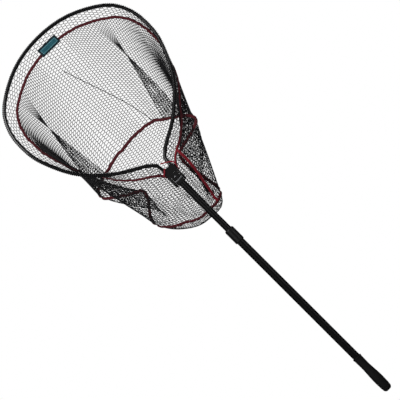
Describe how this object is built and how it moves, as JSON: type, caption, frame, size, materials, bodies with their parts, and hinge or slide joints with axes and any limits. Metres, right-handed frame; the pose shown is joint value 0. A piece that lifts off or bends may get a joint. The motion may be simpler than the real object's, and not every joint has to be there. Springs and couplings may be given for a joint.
{
  "type": "landing net",
  "caption": "Folding landing net: a round hoop with a deep hanging mesh bag on a hinged block, on a telescopic tube handle with a twist lock and a moulded grip.",
  "frame": {"origin": "centre of the flat end of the butt cap, on the handle's axis", "axes": "+Z along the handle from the butt to the hoop, -Y the side the hoop's mouth faces, +Y the side the bag hangs on, +X across the hoop"},
  "size_m": [0.5812, 0.1453, 1.609],
  "materials": {
    "tube_black": "black anodised aluminium tube, satin",
    "hoop_black": "gloss black powder coat",
    "grip_black": "matte black moulded grip",
    "moulded_black": "fine textured black nylon",
    "inner_black": "plain black plastic",
    "steel": "bright steel",
    "net_black": "black knotless netting",
    "tape_dark_red": "dark red woven binding tape",
    "tape_red": "bright red woven binding tape",
    "label_teal": "woven label, teal with a dark border"
  },
  "bodies": {
    "handle": {"lower_tube": "tube_black", "hand_grip": "grip_black", "butt_cap": "grip_black", "collet_sleeve": "inner_black", "compression_ring": "inner_black"},
    "collar": {"lock_collar": "moulded_black"},
    "guide": {"guide_bush": "inner_black"},
    "upper": {"upper_tube": "tube_black", "knuckle": "moulded_black", "knuckle_screw": "steel", "button_spring": "steel", "pocket_plug": "inner_black"},
    "button": {"lock_button": "steel"},
    "head": {"yoke": "moulded_black", "pivot_pin": "steel", "pivot_washer": "steel", "hoop": "hoop_black", "hoop_screw_left": "steel", "hoop_screw_right": "steel", "net_rim": "net_black", "net_wall": "net_black", "net_base": "net_black", "upper_tape": "tape_dark_red", "lower_tape": "tape_dark_red", "seam_tape": "tape_red", "tape_tail_left": "tape_red", "tape_tail_right": "tape_red", "tape_branch": "tape_red", "net_label": "label_teal"}
  },
  "joints": [
    {"name": "collar_twist", "type": "hinge", "parent": "handle", "child": "collar", "pos_m": [0, 0, 0.705], "axis": [0, 0, 1], "range_deg": [0, 90]},
    {"name": "handle_slide", "type": "slide", "parent": "handle", "child": "guide", "axis": [0, 0, 1], "range_m": [-0.13, 0.38]},
    {"name": "handle_turn", "type": "hinge", "parent": "guide", "child": "upper", "pos_m": [0, 0, 0.215], "axis": [0, 0, 1], "continuous": true},
    {"name": "head_fold", "type": "hinge", "parent": "upper", "child": "head", "pos_m": [0, -0.012, 0.958], "axis": [1, 0, 0], "range_deg": [0, 180]},
    {"name": "button_press", "type": "slide", "parent": "upper", "child": "button", "axis": [0, 1, 0], "range_m": [0, 0.0022], "stiffness_N_per_m": 400, "springref_m": -0.003, "deforming": ["button_spring"]}
  ]
}
